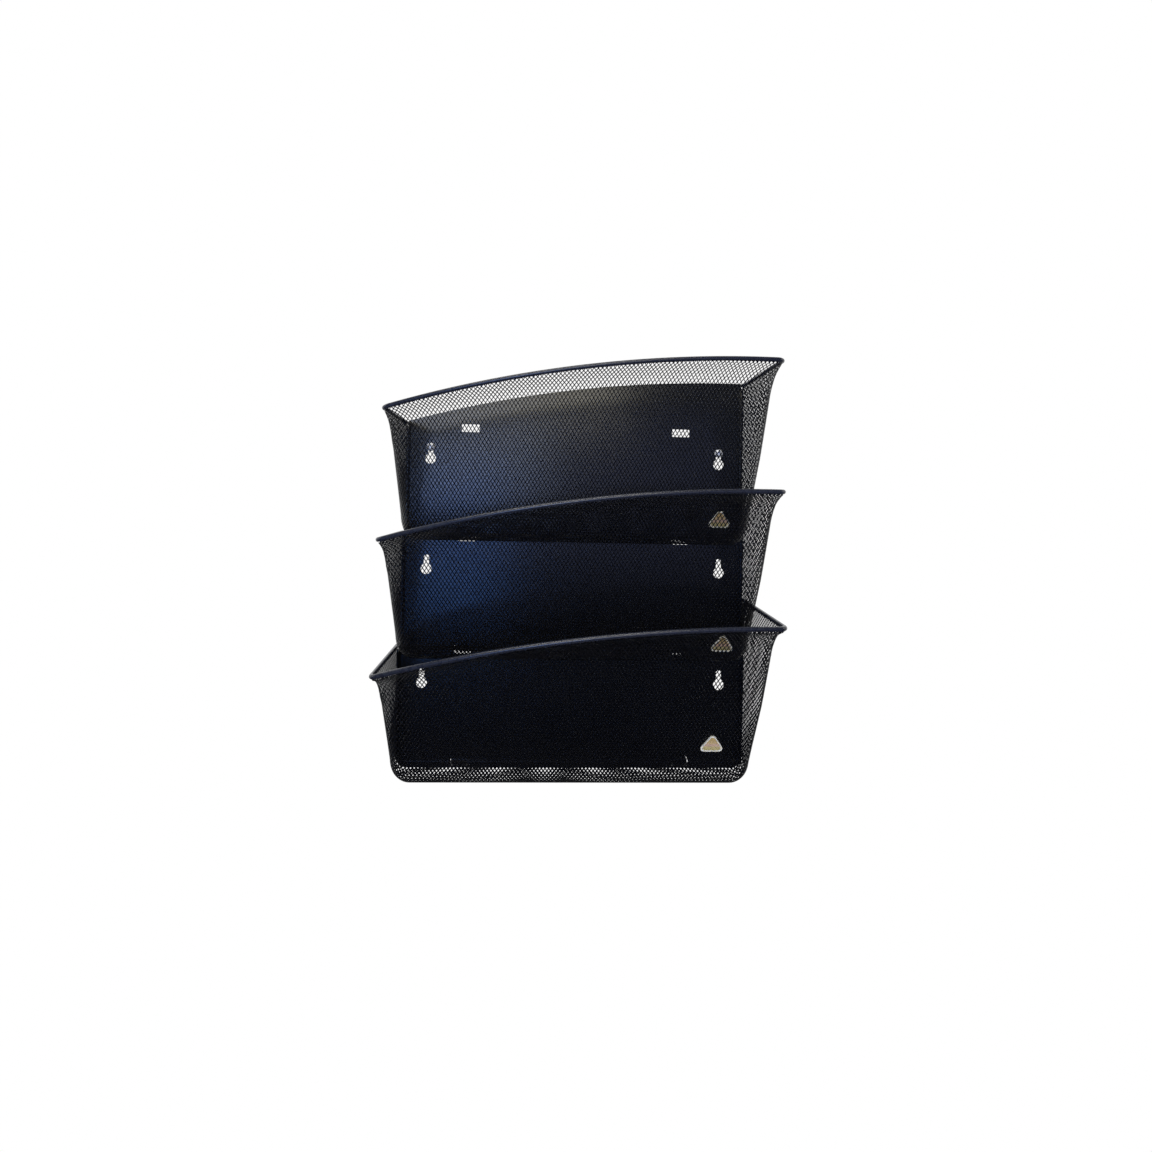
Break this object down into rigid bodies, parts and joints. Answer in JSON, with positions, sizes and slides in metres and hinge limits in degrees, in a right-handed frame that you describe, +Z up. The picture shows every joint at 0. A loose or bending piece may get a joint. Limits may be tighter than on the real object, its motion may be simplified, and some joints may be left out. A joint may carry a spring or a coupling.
{
  "type": "letter tray",
  "caption": "Wall-hung stack of black steel-mesh letter trays with arched rims: the top one hangs on screws by keyholes, the others hook on below it.",
  "frame": {"origin": "on the wall plane, midway between the two hanging screws", "axes": "+X to the right along the wall, -Y out of the wall, +Z up"},
  "size_m": [0.3547, 0.1523, 0.3918],
  "materials": {
    "powder_black": "satin black powder coat",
    "badge_enamel": "gloss enamel with a pale border",
    "bare_steel": "plain",
    "zinc_plate": "bright zinc plate",
    "plug_plastic": "moulded"
  },
  "bodies": {
    "wall_fixings": {"left_wall_screw": "zinc_plate", "left_wall_plug": "plug_plastic", "right_wall_screw": "zinc_plate", "right_wall_plug": "plug_plastic"},
    "upper_tray": {"upper_back_panel": "powder_black", "upper_mesh_basket": "powder_black", "upper_rim_wire": "powder_black", "upper_badge": "badge_enamel", "upper_badge_clip": "bare_steel"},
    "middle_tray": {"middle_back_panel": "powder_black", "middle_mesh_basket": "powder_black", "middle_rim_wire": "powder_black", "middle_badge": "badge_enamel", "middle_badge_clip": "bare_steel"},
    "lower_tray": {"lower_back_panel": "powder_black", "lower_mesh_basket": "powder_black", "lower_rim_wire": "powder_black", "lower_badge": "badge_enamel", "lower_badge_clip": "bare_steel"}
  },
  "joints": [
    {"name": "upper_tray_lift", "type": "slide", "parent": "wall_fixings", "child": "upper_tray", "axis": [0, 0, 1], "range_m": [0, 0.0119]},
    {"name": "middle_tray_lift", "type": "slide", "parent": "upper_tray", "child": "middle_tray", "axis": [0, 0, 1], "range_m": [0, 0.0067]},
    {"name": "lower_tray_lift", "type": "slide", "parent": "middle_tray", "child": "lower_tray", "axis": [0, 0, 1], "range_m": [0, 0.0067]}
  ]
}
